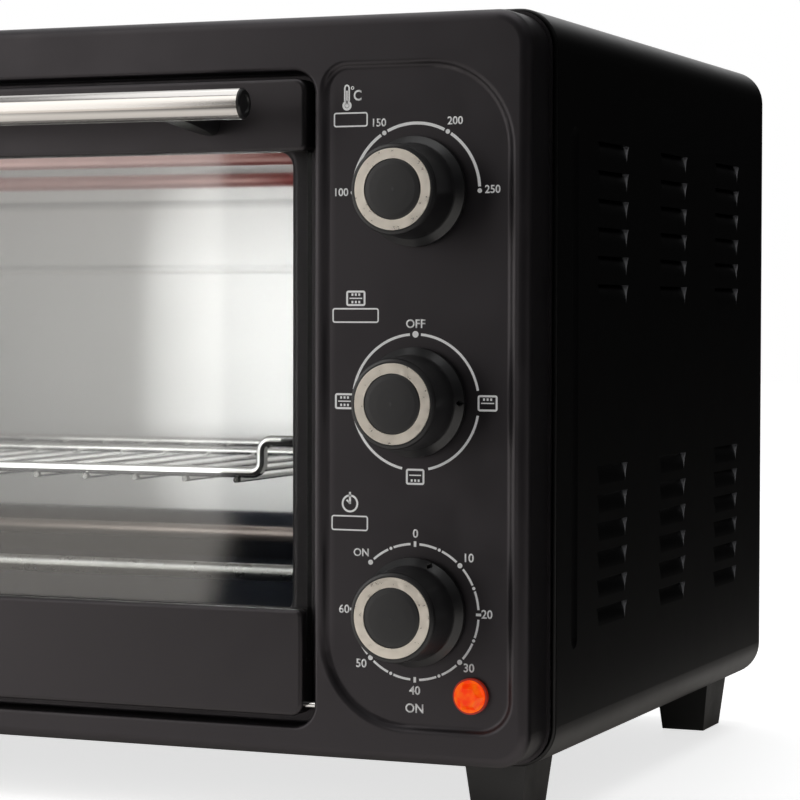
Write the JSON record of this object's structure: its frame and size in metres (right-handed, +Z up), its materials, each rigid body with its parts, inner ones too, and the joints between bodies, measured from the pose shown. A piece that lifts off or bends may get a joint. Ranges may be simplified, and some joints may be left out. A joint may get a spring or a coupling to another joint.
{
  "type": "toaster oven",
  "caption": "Black countertop toaster oven: drop-down glass door with a tubular steel handle, wire rack, control panel with round ringed knobs, side louvres and short feet.",
  "frame": {"origin": "under the middle of the whole oven, on the surface it stands on", "axes": "+X to the right as seen from the front, +Y to the back, +Z up; the door faces -Y"},
  "size_m": [0.486, 0.3438, 0.295],
  "materials": {
    "black_paint": "satin",
    "casing_paint": "satin",
    "zinc_sheet": "galvanised",
    "aluminised": "satin",
    "tray_coat": "satin",
    "sheath": "heat tinted",
    "ceramic": "matte",
    "plated_steel": "plated",
    "bright_tube": "polished",
    "black_plastic": "satin",
    "light_plastic": "matte",
    "ring_metal": "brushed",
    "lamp_amber": "clear orange",
    "lamp_red": "gloss",
    "rubber": "matte",
    "glass": "clear"
  },
  "bodies": {
    "housing": {"front_frame": "black_paint", "outer_casing": "casing_paint", "back_panel": "casing_paint", "base_plate": "zinc_sheet", "feet": "black_plastic", "foot_screws": "plated_steel", "case_screws": "plated_steel", "cavity_ceiling": "aluminised", "cavity_floor": "tray_coat", "cavity_back": "aluminised", "cavity_left_side": "aluminised", "cavity_right_side": "aluminised", "upper_front_heater": "sheath", "upper_rear_heater": "sheath", "lower_front_heater": "sheath", "lower_rear_heater": "sheath", "heater_bushings": "ceramic", "heater_terminals": "plated_steel", "thermostat": "light_plastic", "function_switch": "light_plastic", "timer": "light_plastic", "control_screws": "plated_steel", "terminal_block": "light_plastic", "lamp_holder": "lamp_red", "lamp_lens": "lamp_amber", "cord_bushing": "rubber", "hinge_plates": "zinc_sheet"},
    "door": {"door_glass": "glass", "door_top_trim": "black_paint", "door_bottom_trim": "black_paint", "handle_tube": "bright_tube", "handle_posts": "black_plastic", "handle_caps": "black_plastic", "handle_screws": "plated_steel", "hinge_pins": "plated_steel"},
    "rack": {"wire_rack": "plated_steel"},
    "temp_control": {"temp_knob": "black_plastic", "temp_ring": "ring_metal", "temp_cap": "black_plastic", "temp_shaft": "plated_steel"},
    "function_control": {"function_knob": "black_plastic", "function_ring": "ring_metal", "function_cap": "black_plastic", "function_shaft": "plated_steel"},
    "timer_control": {"timer_knob": "black_plastic", "timer_ring": "ring_metal", "timer_cap": "black_plastic", "timer_shaft": "plated_steel"}
  },
  "joints": [
    {"name": "door_hinge", "type": "hinge", "parent": "housing", "child": "door", "pos_m": [-0.0365, -0.13305, 0.042], "axis": [1, 0, 0], "range_deg": [0, 90]},
    {"name": "rack_slide", "type": "slide", "parent": "housing", "child": "rack", "axis": [0, -1, 0], "range_m": [0, 0.165]},
    {"name": "temp_turn", "type": "hinge", "parent": "housing", "child": "temp_control", "pos_m": [0.1961, -0.14605, 0.2289], "axis": [0, 1, 0], "range_deg": [0, 180]},
    {"name": "function_turn", "type": "hinge", "parent": "housing", "child": "function_control", "pos_m": [0.1961, -0.14605, 0.1534], "axis": [0, 1, 0], "range_deg": [-90, 180]},
    {"name": "timer_turn", "type": "hinge", "parent": "housing", "child": "timer_control", "pos_m": [0.1961, -0.14605, 0.0779], "axis": [0, 1, 0], "range_deg": [-67.5, 247.5]}
  ],
  "couplings": [
    {"joint": "rack_slide", "follows": "door_hinge", "m_per_rad": 0.105}
  ]
}
